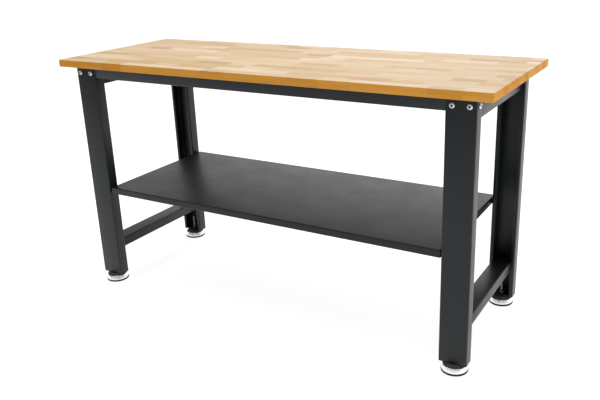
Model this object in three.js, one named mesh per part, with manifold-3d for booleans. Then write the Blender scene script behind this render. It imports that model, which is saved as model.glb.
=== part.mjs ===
// Assembly table: a laminated wooden top on a folded steel frame with a steel shelf and levelling feet.
// Millimetres, +Z up. The origin is on the floor under the middle of the top.
// +X runs along the top, and +Y to the back.

import * as THREE from 'three';
import { mergeVertices } from 'three/addons/utils/BufferGeometryUtils.js';
import Module from 'manifold-3d';

const wasm = await Module();
wasm.setup();

// Wooden top
const topLength = 1650;
const topDepth = 600;
const topThickness = 26;
const topEdgeBreak = 1.5;
const workHeight = 900;

// Legs: folded channels with lips, open towards the middle of the bench
const legWidth = 92;
const legDepth = 43;
const legLip = 13;
const legSheet = 2;
const bendInside = 2;
const endOverhang = 54;
const frontOverhang = 31.5;
const rearOverhang = 20;

// Rails under the top, and the low stretchers
const railHeight = 41;
const railSheet = 2;
const sideRailHeight = 70;
const stretcherHeight = 39;
const stretcherClearance = 41;
const sideSheet = 2;

// Shelf tray
const shelfTop = 407;
const shelfEdge = 26;
const shelfSheet = 1.5;
const shelfReturn = 12;
const shelfEndGap = 4.3;
const shelfFrontInset = 3.5;
const shelfRearInset = 1;
const shelfSeatLength = 26;
const shelfSeatHeight = 18;

// Levelling feet
const footSetback = 24;
const padRadius = 43.2;
const padThickness = 6.8;
const padEdgeBreak = 1;
const dishInset = 1;
const dishHeight = 16.5;
const dishTaper = 3.8;
const dishRim = 3;
const dishSheet = 2;
const hubRadius = 38;
const hubHeight = 9;
const hubEdgeBreak = 1.2;
const stemDiameter = 12;
const stemReach = 61;
const stemFlangeRadius = 11;
const stemFlangeThickness = 4;
const stemTipBreak = 1.5;
const footPlateThickness = 4;
const weldNutFlats = 19;
const weldNutHeight = 10;

// Frame bolts, shelf bolts and the screws into the top
const boltDiameter = 10;
const boltTail = 1;
const boltRim = 1;
const boltHeadDiameter = 18;
const boltHeadHeight = 5;
const boltSocket = 6;
const boltDrop = 23;
const boltSpacing = 51;
const bossRadius = 8.5;
const bossHeight = 6;
const shelfBoltDiameter = 8;
const shelfBoltTail = 2;
const shelfBoltHeadDiameter = 14;
const shelfBoltHeadHeight = 4.4;
const shelfBoltSocket = 5;
const shelfBossRadius = 6.8;
const shelfBossHeight = 6;
const screwDiameter = 5;
const screwReach = 16;
const screwTip = 4;
const screwHeadDiameter = 10;
const screwHeadHeight = 3;
const screwInset = 139;

// Fits: a seat between two pieces, a bolt or stem in its hole, and how far a cut runs past a face
const seat = 0.3;
const holeClearance = 0.4;
const past = 1;

// Facets: sides of round pieces, and steps in a bend
const footSides = 24;
const boltSides = 12;
const holeSides = 10;
const bendSteps = 3;
const domeSteps = 3;

// Places worked out from the sizes above
const topUnderside = workHeight - topThickness;
const frameTop = topUnderside - seat;
const legX = topLength / 2 - endOverhang - legWidth / 2;
const legInnerX = legX - legWidth / 2;
const legBend = legSheet + bendInside;
const frontFaceY = frontOverhang - topDepth / 2;
const rearFaceY = topDepth / 2 - rearOverhang;
const dishBottom = padThickness;
const dishTop = dishBottom + dishHeight;
const hubBottom = dishTop + seat;
const legBottom = hubBottom + hubHeight + seat;
const stemTop = legBottom + stemReach;
const stretcherBottom = stemTop + stretcherClearance;
const stretcherTop = stretcherBottom + stretcherHeight;
const boltZ = topUnderside - boltDrop;
const shelfBoltZ = shelfTop - shelfEdge / 2;
const railFrontY = legSheet + seat;
const railDepth = legDepth - 2 * legSheet - 2 * seat;
const railBackY = railFrontY + railDepth;
const sideWidth = legWidth - 2 * legLip - 2 * seat;
const dishRadius = padRadius - dishInset;
const dishTopRadius = dishRadius - dishTaper;
const boltLength = legSheet + seat + railSheet + bossHeight + boltTail;
const shelfBoltLength = legSheet + shelfEndGap + shelfSheet + shelfBossHeight + shelfBoltTail;
const boltHole = boltDiameter / 2 + holeClearance;
const shelfBoltHole = shelfBoltDiameter / 2 + holeClearance;
const screwHole = screwDiameter / 2 + holeClearance;
const stemHole = stemDiameter / 2 + holeClearance;

// A closed mesh with its shared points merged and its flat triangles left out
function weld(geometry) {
  const bare = new THREE.BufferGeometry();
  bare.setAttribute('position', geometry.getAttribute('position'));
  bare.setIndex(geometry.getIndex());
  const merged = mergeVertices(bare, 1e-4);
  const index = merged.getIndex().array;
  const kept = [];
  for (let i = 0; i < index.length; i += 3) {
    const [a, b, c] = index.slice(i, i + 3);
    if (a !== b && b !== c && c !== a) kept.push(a, b, c);
  }
  merged.setIndex(kept);
  return merged;
}

// Booleans: a geometry as a solid, and a solid as a geometry
function solid(geometry) {
  const welded = weld(geometry);
  return new wasm.Manifold(new wasm.Mesh({
    numProp: 3,
    vertProperties: new Float32Array(welded.getAttribute('position').array),
    triVerts: new Uint32Array(welded.getIndex().array),
  }));
}

function geometryOf(body) {
  const mesh = body.getMesh();
  const geometry = new THREE.BufferGeometry();
  geometry.setAttribute('position', new THREE.BufferAttribute(mesh.vertProperties, 3));
  geometry.setIndex(new THREE.BufferAttribute(mesh.triVerts, 1));
  return geometry;
}

function shaped(base, { add = [], cut = [] }) {
  let body = solid(base);
  for (const geometry of add) body = body.add(solid(geometry));
  for (const geometry of cut) body = body.subtract(solid(geometry));
  return geometryOf(body);
}

// A stretch from a to b on the side of the middle that side gives, lowest first
function span(side, a, b) {
  return [Math.min(side * a, side * b), Math.max(side * a, side * b)];
}

// A box between two corners
function block([x0, y0, z0], [x1, y1, z1]) {
  const box = new THREE.BoxGeometry(x1 - x0, y1 - y0, z1 - z0);
  return box.translate((x0 + x1) / 2, (y0 + y1) / 2, (z0 + z1) / 2);
}

// A round bar along one axis, from one place on that axis to another
function bar(axis, radius, from, to, [u, v], sides = holeSides) {
  const geometry = new THREE.CylinderGeometry(radius, radius, to - from, sides);
  const middle = (from + to) / 2;
  if (axis === 'x') return geometry.rotateZ(Math.PI / 2).translate(middle, u, v);
  if (axis === 'y') return geometry.translate(u, middle, v);
  return geometry.rotateX(Math.PI / 2).translate(u, v, middle);
}

// A solid of revolution about Z from points of radius and height
function turned(points, sides) {
  const profile = points.map(([radius, height]) => new THREE.Vector2(radius, height));
  return new THREE.LatheGeometry(profile, sides).rotateX(Math.PI / 2);
}

function prism(outline, length, holes = []) {
  const shape = new THREE.Shape(outline.map(([x, y]) => new THREE.Vector2(x, y)));
  for (const hole of holes) shape.holes.push(new THREE.Path(hole.map(([x, y]) => new THREE.Vector2(x, y))));
  return new THREE.ExtrudeGeometry(shape, { depth: length, bevelEnabled: false });
}

// The section of a sheet folded at right angles, given the corners of its outer face in order
function foldedSheet(corners, sheet) {
  const bend = sheet + bendInside;
  const points = corners.map(([x, y]) => new THREE.Vector2(x, y));
  const last = points.length - 1;
  const along = (i) => points[i + 1].clone().sub(points[i]).normalize();
  const outer = [points[0].clone()];
  const inner = [points[0].clone().addScaledVector(along(1), sheet)];
  for (let i = 1; i < last; i += 1) {
    const coming = along(i - 1);
    const going = along(i);
    const centre = points[i].clone().addScaledVector(coming, -bend).addScaledVector(going, bend);
    for (let step = 0; step <= bendSteps; step += 1) {
      const angle = (step / bendSteps) * (Math.PI / 2);
      const ray = going.clone().multiplyScalar(-Math.cos(angle)).addScaledVector(coming, Math.sin(angle));
      outer.push(centre.clone().addScaledVector(ray, bend));
      inner.push(centre.clone().addScaledVector(ray, bend - sheet));
    }
  }
  outer.push(points[last].clone());
  inner.push(points[last].clone().addScaledVector(along(last - 2), -sheet));
  return outer.concat(inner.reverse()).map((point) => [point.x, point.y]);
}

// A rectangle with rounded corners, for a tube's section and a plate's outline
function roundedRectangle(x0, y0, x1, y1, radius) {
  const corners = [[x1 - radius, y1 - radius], [x0 + radius, y1 - radius], [x0 + radius, y0 + radius],
    [x1 - radius, y0 + radius]];
  const outline = [];
  corners.forEach(([x, y], quarter) => {
    for (let step = 0; step <= bendSteps; step += 1) {
      const angle = (quarter + step / bendSteps) * (Math.PI / 2);
      outline.push([x + radius * Math.cos(angle), y + radius * Math.sin(angle)]);
    }
  });
  return outline;
}

// The screws into the top: places along the front rail, the rear rail and the two side rails
const railScrewY = railFrontY + railDepth / 2;
const sideMiddleY = (frontFaceY + rearFaceY) / 2;
const railScrewX = legInnerX - screwInset;
const screwPlaces = [
  ['front_left', -railScrewX, frontFaceY + railScrewY],
  ['front_middle', 0, frontFaceY + railScrewY],
  ['front_right', railScrewX, frontFaceY + railScrewY],
  ['rear_left', -railScrewX, rearFaceY - railScrewY],
  ['rear_middle', 0, rearFaceY - railScrewY],
  ['rear_right', railScrewX, rearFaceY - railScrewY],
  ['side_left', -legX, sideMiddleY],
  ['side_right', legX, sideMiddleY],
];

// Wooden slab with its edges broken and a blind pilot hole for each screw
function workTopGeometry() {
  const x = topLength / 2 - topEdgeBreak;
  const y = topDepth / 2 - topEdgeBreak;
  const corners = [[-x, -y], [x, -y], [x, y], [-x, y]];
  const shape = new THREE.Shape(corners.map(([a, b]) => new THREE.Vector2(a, b)));
  const slab = new THREE.ExtrudeGeometry(shape, {
    depth: topThickness - 2 * topEdgeBreak,
    bevelThickness: topEdgeBreak,
    bevelSize: topEdgeBreak,
    bevelSegments: 1,
  }).translate(0, 0, topUnderside + topEdgeBreak);
  const pilotFrom = topUnderside - past;
  const pilotTop = topUnderside + screwReach + seat;
  const pilots = screwPlaces.map(([, px, py]) => bar('z', screwHole, pilotFrom, pilotTop, [px, py]));
  return shaped(slab, { cut: pilots });
}

// One leg in its corner's frame: web face at y = 0, open side at +y.
// inner is the x side that faces the shelf.
function legGeometry(inner) {
  const half = legWidth / 2;
  const section = foldedSheet([
    [-half + legLip, legDepth], [-half, legDepth], [-half, 0],
    [half, 0], [half, legDepth], [half - legLip, legDepth],
  ], legSheet);
  const channel = prism(section, frameTop - legBottom).translate(0, 0, legBottom);
  const cut = [];
  for (const across of [-1, 1]) {
    cut.push(bar('y', boltHole, -past, legSheet + past, [across * boltSpacing / 2, boltZ]));
  }
  const [outer0, outer1] = span(-inner, half - legSheet - past, half + past);
  cut.push(bar('x', boltHole, outer0, outer1, [legDepth / 2, boltZ]));
  const [inner0, inner1] = span(inner, half - legSheet - past, half + past);
  cut.push(bar('x', shelfBoltHole, inner0, inner1, [legDepth / 2, shelfBoltZ]));
  const [notch0, notch1] = span(inner, half - legLip - past, half + past);
  const notchFloor = frameTop - railHeight - seat;
  cut.push(block([notch0, legSheet, notchFloor], [notch1, legDepth + past, frameTop + past]));
  return shaped(channel, { cut });
}

// A long rail in its face's frame: leg web faces at y = 0, +y inwards.
// Its ends lie inside the leg channels.
function longRailGeometry() {
  const bottom = frameTop - railHeight;
  const end = legX + legWidth / 2 - legBend - seat;
  const tabEnd = legX + legWidth / 2 - legSheet - seat;
  const section = foldedSheet([
    [railBackY, frameTop], [railFrontY, frameTop], [railFrontY, bottom], [railBackY, bottom],
  ], railSheet);
  const channel = prism(section, 2 * end).translate(0, 0, -end);
  channel.applyMatrix4(new THREE.Matrix4().makeBasis(
    new THREE.Vector3(0, 1, 0), new THREE.Vector3(0, 0, 1), new THREE.Vector3(1, 0, 0)));
  const add = [];
  const cut = [];
  for (const side of [-1, 1]) {
    const [tab0, tab1] = span(side, end - railSheet, tabEnd);
    const tabFront = legBend + seat;
    const tabBack = legDepth - legBend - seat;
    const tabInset = railSheet / 2;
    add.push(block([tab0, tabFront, bottom + tabInset], [tab1, tabBack, frameTop - tabInset]));
    const [boss0, boss1] = span(side, tabEnd - railSheet - bossHeight, tabEnd - tabInset);
    add.push(bar('x', bossRadius, boss0, boss1, [legDepth / 2, boltZ]));
    const [bore0, bore1] = span(side, tabEnd - railSheet - bossHeight - past, tabEnd + past);
    cut.push(bar('x', boltHole, bore0, bore1, [legDepth / 2, boltZ]));
    for (const across of [-1, 1]) {
      const place = [side * legX + across * boltSpacing / 2, boltZ];
      const bossBack = railFrontY + railSheet + bossHeight;
      add.push(bar('y', bossRadius, railFrontY + railSheet / 2, bossBack, place));
      cut.push(bar('y', boltHole, railFrontY - past, bossBack + past, place));
    }
  }
  for (const x of [-railScrewX, 0, railScrewX]) {
    cut.push(bar('z', screwHole, frameTop - railSheet - past, frameTop + past, [x, railScrewY]));
  }
  return shaped(channel, { add, cut });
}

// Deep channel under the top between a front and a rear leg, open below, held between the lips of the legs
function sideRailGeometry() {
  const from = frontFaceY + railBackY + seat;
  const to = rearFaceY - railBackY - seat;
  const half = sideWidth / 2;
  const bottom = frameTop - sideRailHeight;
  const section = foldedSheet([
    [-half, bottom], [-half, frameTop], [half, frameTop], [half, bottom],
  ], sideSheet);
  const channel = prism(section, to - from).rotateX(Math.PI / 2).translate(0, to, 0);
  const hole = bar('z', screwHole, frameTop - sideSheet - past, frameTop + past, [0, sideMiddleY]);
  return shaped(channel, { cut: [hole] });
}

// Low tube between a front and a rear leg, from web to web
function stretcherGeometry() {
  const from = frontFaceY + legSheet + seat;
  const to = rearFaceY - legSheet - seat;
  const half = sideWidth / 2;
  const outline = roundedRectangle(-half, stretcherBottom, half, stretcherTop, sideSheet + bendInside);
  const bore = roundedRectangle(-half + sideSheet, stretcherBottom + sideSheet, half - sideSheet,
    stretcherTop - sideSheet, bendInside);
  return prism(outline, to - from, [bore]).rotateX(Math.PI / 2).translate(0, to, 0);
}

// Sheet tray: long edges folded down with a return, end plates with a raised seat around each bolt
function shelfGeometry() {
  const front = frontFaceY + shelfFrontInset;
  const rear = rearFaceY - shelfRearInset;
  const bottom = shelfTop - shelfEdge;
  const end = legInnerX - shelfEndGap;
  const section = foldedSheet([
    [front + shelfReturn, bottom], [front, bottom], [front, shelfTop],
    [rear, shelfTop], [rear, bottom], [rear - shelfReturn, bottom],
  ], shelfSheet);
  const inset = shelfSheet / 2;
  const tray = prism(section, 2 * (end - inset)).translate(0, 0, inset - end);
  tray.applyMatrix4(new THREE.Matrix4().makeBasis(
    new THREE.Vector3(0, 1, 0), new THREE.Vector3(0, 0, 1), new THREE.Vector3(1, 0, 0)));
  const add = [];
  const cut = [];
  for (const side of [-1, 1]) {
    const [plate0, plate1] = span(side, end - shelfSheet, end);
    add.push(block([plate0, front + inset, bottom + inset], [plate1, rear - inset, shelfTop - inset]));
    for (const y of [frontFaceY + legDepth / 2, rearFaceY - legDepth / 2]) {
      const [seat0, seat1] = span(side, end - inset, legInnerX - seat);
      const low = [seat0, y - shelfSeatLength / 2, shelfBoltZ - shelfSeatHeight / 2];
      const high = [seat1, y + shelfSeatLength / 2, shelfBoltZ + shelfSeatHeight / 2];
      add.push(block(low, high));
      const [boss0, boss1] = span(side, end - shelfSheet - shelfBossHeight, end - inset);
      add.push(bar('x', shelfBossRadius, boss0, boss1, [y, shelfBoltZ]));
      const [bore0, bore1] = span(side, end - shelfSheet - shelfBossHeight - past, legInnerX);
      cut.push(bar('x', shelfBoltHole, bore0, bore1, [y, shelfBoltZ]));
    }
  }
  return shaped(tray, { add, cut });
}

// Plate welded into the bottom of a leg, with the hole for the stem
function footPlateGeometry() {
  const half = legWidth / 2 - legSheet - seat;
  const from = legSheet + seat;
  const to = legDepth - legSheet - seat;
  const outline = roundedRectangle(-half, from, half, to, legBend);
  const plate = prism(outline, footPlateThickness).translate(0, 0, legBottom);
  const hole = bar('z', stemHole, legBottom - past, legBottom + footPlateThickness + past, [0, footSetback]);
  return shaped(plate, { cut: [hole] });
}

// Hexagon nut on the foot plate
function weldNutGeometry() {
  const bottom = legBottom + footPlateThickness + seat;
  const radius = weldNutFlats / 2 / Math.cos(Math.PI / 6);
  const nut = bar('z', radius, bottom, bottom + weldNutHeight, [0, 0], 6);
  const bore = bar('z', stemHole, bottom - past, bottom + weldNutHeight + past, [0, 0]);
  return shaped(nut, { cut: [bore] });
}

// Threaded stem with the flange that turns under the top of the dish
function stemGeometry() {
  const radius = stemDiameter / 2;
  const flangeTop = dishTop - dishSheet - seat;
  const flangeBottom = flangeTop - stemFlangeThickness;
  return turned([
    [0, flangeBottom], [stemFlangeRadius, flangeBottom], [stemFlangeRadius, flangeTop], [radius, flangeTop],
    [radius, stemTop - stemTipBreak], [radius - stemTipBreak, stemTop], [0, stemTop],
  ], boltSides);
}

// Black hub fixed to the stem, turned by hand
function hubGeometry() {
  const top = hubBottom + hubHeight;
  const bore = stemDiameter / 2 + seat;
  return turned([
    [bore, hubBottom], [hubRadius - hubEdgeBreak, hubBottom], [hubRadius, hubBottom + hubEdgeBreak],
    [hubRadius, top - hubEdgeBreak], [hubRadius - hubEdgeBreak, top], [bore, top], [bore, hubBottom],
  ], footSides);
}

// Plated dish pressed from sheet, wider at its rim
function dishGeometry() {
  const bore = stemHole;
  return turned([
    [dishRadius - dishSheet, dishBottom], [dishRadius, dishBottom], [dishRadius, dishBottom + dishRim],
    [dishTopRadius, dishTop], [bore, dishTop], [bore, dishTop - dishSheet],
    [dishTopRadius - dishSheet, dishTop - dishSheet], [dishRadius - dishSheet, dishBottom + dishRim],
    [dishRadius - dishSheet, dishBottom],
  ], footSides);
}

// Rubber pad with a plug that fills the dish below the stem's flange
function padGeometry() {
  const shoulder = dishBottom - seat;
  const plugTop = dishTop - dishSheet - stemFlangeThickness - 2 * seat;
  const plugRadius = dishTopRadius - dishSheet - seat;
  return turned([
    [0, 0], [padRadius - padEdgeBreak, 0], [padRadius, padEdgeBreak], [padRadius, shoulder],
    [plugRadius, shoulder], [plugRadius, plugTop], [0, plugTop],
  ], footSides);
}

// Button-head bolt along Z: head above z = 0, shank below, with a hexagon socket in the head
function boltGeometry(diameter, length, headDiameter, headHeight, socket) {
  const radius = diameter / 2;
  const headRadius = headDiameter / 2;
  const socketRadius = socket / 2 / Math.cos(Math.PI / 6);
  const flatRadius = socketRadius + boltRim;
  const points = [[0, -length], [radius - boltRim, -length], [radius, boltRim - length], [radius, seat],
    [headRadius, seat]];
  for (let step = 0; step <= domeSteps; step += 1) {
    const angle = (step / domeSteps) * (Math.PI / 2);
    const domeRadius = flatRadius + (headRadius - flatRadius) * Math.cos(angle);
    points.push([domeRadius, seat + boltRim + (headHeight - boltRim) * Math.sin(angle)]);
  }
  points.push([0, seat + headHeight]);
  const hexagon = bar('z', socketRadius, seat + headHeight / 2, seat + headHeight + past, [0, 0], 6);
  return shaped(turned(points, boltSides), { cut: [hexagon] });
}

// Wood screw pointing up, with its head under the sheet of a rail
function topScrewGeometry(sheet) {
  const radius = screwDiameter / 2;
  const headTop = frameTop - sheet - seat;
  const headRadius = screwHeadDiameter / 2;
  const tip = topUnderside + screwReach;
  return turned([
    [0, headTop - screwHeadHeight], [radius, headTop - screwHeadHeight],
    [headRadius, headTop - screwHeadHeight / 2], [headRadius, headTop], [radius, headTop],
    [radius, tip - screwTip], [0, tip],
  ], holeSides);
}

// Finishes
const woodFinish = () => new THREE.MeshStandardMaterial({ color: 0xd8b483, roughness: 0.45, metalness: 0 });
const frameFinish = () => new THREE.MeshStandardMaterial({ color: 0x35383b, roughness: 0.5, metalness: 0.2 });
const zincFinish = () => new THREE.MeshStandardMaterial({ color: 0xc4c8cc, roughness: 0.3, metalness: 1 });
const chromeFinish = () => new THREE.MeshStandardMaterial({ color: 0xe4e6e8, roughness: 0.12, metalness: 1 });
const hubFinish = () => new THREE.MeshStandardMaterial({ color: 0x17181a, roughness: 0.55, metalness: 0 });
const rubberFinish = () => new THREE.MeshStandardMaterial({ color: 0x121212, roughness: 0.85, metalness: 0 });

const table = new THREE.Group();

function addPiece(parent, name, geometry, material) {
  const mesh = new THREE.Mesh(geometry, material);
  mesh.name = name;
  parent.add(mesh);
  return mesh;
}

addPiece(table, 'work_top', workTopGeometry(), woodFinish());
addPiece(table, 'shelf', shelfGeometry(), frameFinish());

// The front is placed as it is drawn, and the rear is turned half round about the upright axis
const frontGroup = new THREE.Group();
frontGroup.position.y = frontFaceY;
const rearGroup = new THREE.Group();
rearGroup.position.y = rearFaceY;
rearGroup.rotation.z = Math.PI;
table.add(frontGroup, rearGroup);

for (const [row, group] of [['front', frontGroup], ['rear', rearGroup]]) {
  const turnedRound = row === 'front' ? 1 : -1;
  addPiece(group, `rail_${row}`, longRailGeometry(), frameFinish());

  for (const [end, side] of [['left', -1], ['right', 1]]) {
    const corner = new THREE.Group();
    corner.position.x = side * turnedRound * legX;
    group.add(corner);
    const tag = `${row}_${end}`;
    const inner = -side * turnedRound;
    addPiece(corner, `leg_${tag}`, legGeometry(inner), frameFinish());
    addPiece(corner, `foot_plate_${tag}`, footPlateGeometry(), frameFinish());

    const foot = new THREE.Group();
    foot.position.y = footSetback;
    corner.add(foot);
    addPiece(foot, `weld_nut_${tag}`, weldNutGeometry(), zincFinish());
    addPiece(foot, `stem_${tag}`, stemGeometry(), zincFinish());
    addPiece(foot, `hub_${tag}`, hubGeometry(), hubFinish());
    addPiece(foot, `dish_${tag}`, dishGeometry(), chromeFinish());
    addPiece(foot, `pad_${tag}`, padGeometry(), rubberFinish());

    const frameBolt = () => boltGeometry(boltDiameter, boltLength, boltHeadDiameter,
      boltHeadHeight, boltSocket);
    for (const [place, across] of [['inner', inner], ['outer', -inner]]) {
      const webBolt = addPiece(corner, `web_bolt_${tag}_${place}`, frameBolt(), zincFinish());
      webBolt.position.set(across * boltSpacing / 2, 0, boltZ);
      webBolt.rotation.x = Math.PI / 2;
    }
    const flangeBolt = addPiece(corner, `flange_bolt_${tag}`, frameBolt(), zincFinish());
    flangeBolt.position.set(-inner * legWidth / 2, legDepth / 2, boltZ);
    flangeBolt.rotation.y = -inner * Math.PI / 2;

    const shelfBoltShape = boltGeometry(shelfBoltDiameter, shelfBoltLength, shelfBoltHeadDiameter,
      shelfBoltHeadHeight, shelfBoltSocket);
    const shelfBolt = addPiece(corner, `shelf_bolt_${tag}`, shelfBoltShape, zincFinish());
    shelfBolt.position.set(inner * (legWidth / 2 - legSheet), legDepth / 2, shelfBoltZ);
    shelfBolt.rotation.y = -inner * Math.PI / 2;
  }
}

for (const [end, side] of [['left', -1], ['right', 1]]) {
  const sideRail = addPiece(table, `side_rail_${end}`, sideRailGeometry(), frameFinish());
  sideRail.position.x = side * legX;
  const stretcher = addPiece(table, `stretcher_${end}`, stretcherGeometry(), frameFinish());
  stretcher.position.x = side * legX;
}

for (const [place, x, y] of screwPlaces) {
  const sheet = place.startsWith('side') ? sideSheet : railSheet;
  const screw = addPiece(table, `top_screw_${place}`, topScrewGeometry(sheet), zincFinish());
  screw.position.set(x, y, 0);
}

export default table;
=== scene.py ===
# %% [markdown]
# An assembly table for a workshop: a laminated wooden top on a folded steel frame, with a steel shelf
# between the legs and a levelling foot under each leg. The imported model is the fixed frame: every piece
# made here takes its size and place from the node that it stands for, so nothing has to be fitted later.

# %% Load the frame
from collections import namedtuple
from math import cos, pi, radians, sin

import bmesh
import bpy
from mathutils import Euler, Matrix, Vector


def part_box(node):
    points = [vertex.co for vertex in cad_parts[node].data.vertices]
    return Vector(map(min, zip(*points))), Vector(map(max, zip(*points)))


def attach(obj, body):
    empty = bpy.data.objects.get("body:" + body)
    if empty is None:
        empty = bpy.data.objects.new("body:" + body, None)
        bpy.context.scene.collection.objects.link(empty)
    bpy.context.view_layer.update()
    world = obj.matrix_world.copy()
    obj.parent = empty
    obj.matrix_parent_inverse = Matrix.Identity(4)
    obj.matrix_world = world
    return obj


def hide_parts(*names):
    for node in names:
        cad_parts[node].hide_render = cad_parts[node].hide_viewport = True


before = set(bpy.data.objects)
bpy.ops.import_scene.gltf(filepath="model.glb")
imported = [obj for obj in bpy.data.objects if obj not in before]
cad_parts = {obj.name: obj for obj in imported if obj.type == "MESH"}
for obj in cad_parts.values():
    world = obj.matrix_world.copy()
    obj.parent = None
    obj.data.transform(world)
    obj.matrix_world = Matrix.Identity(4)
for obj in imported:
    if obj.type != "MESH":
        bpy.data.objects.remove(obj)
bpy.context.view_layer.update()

mm = 0.001

# %% [markdown]
# The camera stands where the picture was taken: a little right of the bench and above it, looking down at
# the top. The lens and the shift come from fitting the bench's straight edges, and the small roll is how
# the picture was held. A camera could also be aimed by a constraint, but fixed angles are surer.

# %% Camera
eye = Vector((1.361424, -2.128324, 1.299805))
yaw = radians(30.6474)
pitch = radians(-19.0873)
roll = radians(-1.879)

bpy.ops.object.camera_add(location=eye)
camera = bpy.context.object
camera.name = "camera"
look = Euler((pi / 2 + pitch, 0, yaw)).to_matrix() @ Matrix.Rotation(roll, 3, "Z")
camera.rotation_euler = look.to_euler()
camera.data.sensor_width = 36
camera.data.lens = 43.0096
camera.data.shift_x = -0.02915
camera.data.shift_y = -0.02384
camera.data.clip_end = 200
bpy.context.scene.camera = camera
print("camera", [round(v, 3) for v in eye], "lens", camera.data.lens)

# %% [markdown]
# The floor, the world and every finish are node trees. By hand they are wired up in the shader editor. In a
# script the same steps come back for each node: make it, set it, link it. These helpers do the steps, so
# that a finish further down reads as a short list of what it does.

# %% Helpers for node trees
def feed(tree, sockets, values):
    """Link each named socket to another one, or set it to a plain value."""
    for key, value in values.items():
        if isinstance(value, bpy.types.NodeSocket):
            tree.links.new(value, sockets[key])
        else:
            sockets[key].default_value = value


def add_node(tree, kind, inputs=None, **settings):
    """A shader node with its settings made and its inputs fed."""
    made = tree.nodes.new("ShaderNode" + kind)
    for key, value in settings.items():
        setattr(made, key, value)
    feed(tree, made.inputs, inputs or {})
    return made


def sums(tree, operation, *values):
    """One step of arithmetic on up to three values."""
    return add_node(tree, "Math", dict(enumerate(values)), operation=operation).outputs[0]


def between(tree, value, span, low=0.0, high=1.0):
    """A value moved smoothly from a span to the range from low to high, and held inside it."""
    inputs = {"Value": value, "From Min": span[0], "From Max": span[1], "To Min": low, "To Max": high}
    return add_node(tree, "MapRange", inputs, interpolation_type="SMOOTHSTEP").outputs[0]


def blend_colours(tree, share, first, second):
    """Two colours mixed by a share, through the colour sockets of a Mix node."""
    return add_node(tree, "Mix", {0: share, 6: first, 7: second}, data_type="RGBA").outputs[2]


def blank_finish(name):
    """A material with its tree, its Principled shader and its Object coordinates."""
    finish = bpy.data.materials.new(name)
    finish.use_nodes = True
    tree = finish.node_tree
    coords = add_node(tree, "TexCoord").outputs["Object"]
    return finish, tree, tree.nodes["Principled BSDF"], coords


print("node helpers ready")

# %% [markdown]
# The floor is one wide white sheet, so wide that its far edge never shows. Plain pale paint would fall to
# grey away from the lamp, so the sheet also glows, more to the right of the bench than to the left. The glow
# lights the undersides and the feet as well.

# %% Floor
floor_size = 60.0
floor_white = (0.36, 0.36, 0.36, 1)
floor_glow = 1.45
glow_left = (0.58, 0.58, 0.58, 1)
glow_right = (1.0, 1.0, 1.0, 1)
glow_span = (0.7, 1.6)

bpy.ops.object.select_all(action="DESELECT")
bpy.ops.mesh.primitive_plane_add(size=floor_size, location=(0, 0, 0))
floor = bpy.context.object
floor.name = "studio_floor"
floor_paint, tree, shader, coords = blank_finish("studio_white")
across = add_node(tree, "SeparateXYZ", {"Vector": coords}).outputs["X"]
share = between(tree, across, glow_span)
feed(tree, shader.inputs, {
    "Base Color": floor_white,
    "Roughness": 0.9,
    "Specular IOR Level": 0.1,
    "Emission Color": blend_colours(tree, share, glow_left, glow_right),
    "Emission Strength": floor_glow,
})
floor.data.materials.append(floor_paint)
print("floor", floor_size, "m across")

# %% [markdown]
# Nearly all of the light is soft and comes from all round, which a white world gives. It is dimmer in front
# and at both sides, so that the dark coat mirrors a grey that differs from face to face. A few small lamps
# would draw hard shadows and hot spots instead. The Light Path node keeps the world at least white where
# the camera looks straight at it.

# %% Studio light
front_level = 0.50
back_level = 1.45
left_share = 0.48
right_share = 0.55
front_to_back = (-0.8, 0.6)
left_side = (-0.85, -0.25)
right_side = (0.3, 0.9)

world = bpy.data.worlds.new("white_studio")
bpy.context.scene.world = world
world.use_nodes = True
sky = world.node_tree
direction = add_node(sky, "TexCoord").outputs["Generated"]
way = add_node(sky, "SeparateXYZ", {"Vector": direction}).outputs
seen = add_node(sky, "LightPath").outputs["Is Camera Ray"]
level = between(sky, way["Y"], front_to_back, front_level, back_level)
level = sums(sky, "MULTIPLY", level, between(sky, way["X"], left_side, left_share, 1.0))
level = sums(sky, "MULTIPLY", level, between(sky, way["X"], right_side, 1.0, right_share))
level = sums(sky, "MAXIMUM", level, seen)
feed(sky, sky.nodes["Background"].inputs, {"Color": (1, 1, 1, 1), "Strength": level})
bpy.context.scene.view_settings.view_transform = "Standard"
print("world from", front_level, "in front to", back_level, "behind")

# %% [markdown]
# One large lamp over the bench lifts the top a little and gives its lacquer something to mirror. A lamp of
# this size throws hardly any shadow, as a softbox in a studio does.

# %% Softbox
softbox_place = Vector((-0.6, 0.3, 3.4))
softbox_aim = Vector((-0.2, 0, 0.5))

bpy.ops.object.light_add(type="AREA", location=softbox_place)
softbox = bpy.context.object
softbox.name = "overhead_softbox"
softbox.rotation_euler = (softbox_aim - softbox_place).to_track_quat("-Z", "Y").to_euler()
softbox.data.shape = "RECTANGLE"
softbox.data.size = 3.2
softbox.data.size_y = 2.6
softbox.data.energy = 60
print("softbox", softbox.data.energy, "watts")

# %% [markdown]
# Powder coat, moulded plastic and rubber all have a fine skin: a close speckle with a slower waviness under
# it. That skin is one node group, placed in each finish with its own grain, so the finishes stay alike in
# build and differ only in their values. It reads Object coordinates, which stay with the piece in any pose.

# %% Shared skin group
wave_scale = 0.3
wave_height = 0.6
speckle_height = 0.4
mottle_scale = 9.0


def noise(tree, vector, scale, **more):
    """Soft random mottle from 0 to 1. More of its sockets can be set by their names."""
    return add_node(tree, "TexNoise", {"Vector": vector, "Scale": scale, **more}).outputs[0]


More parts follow.
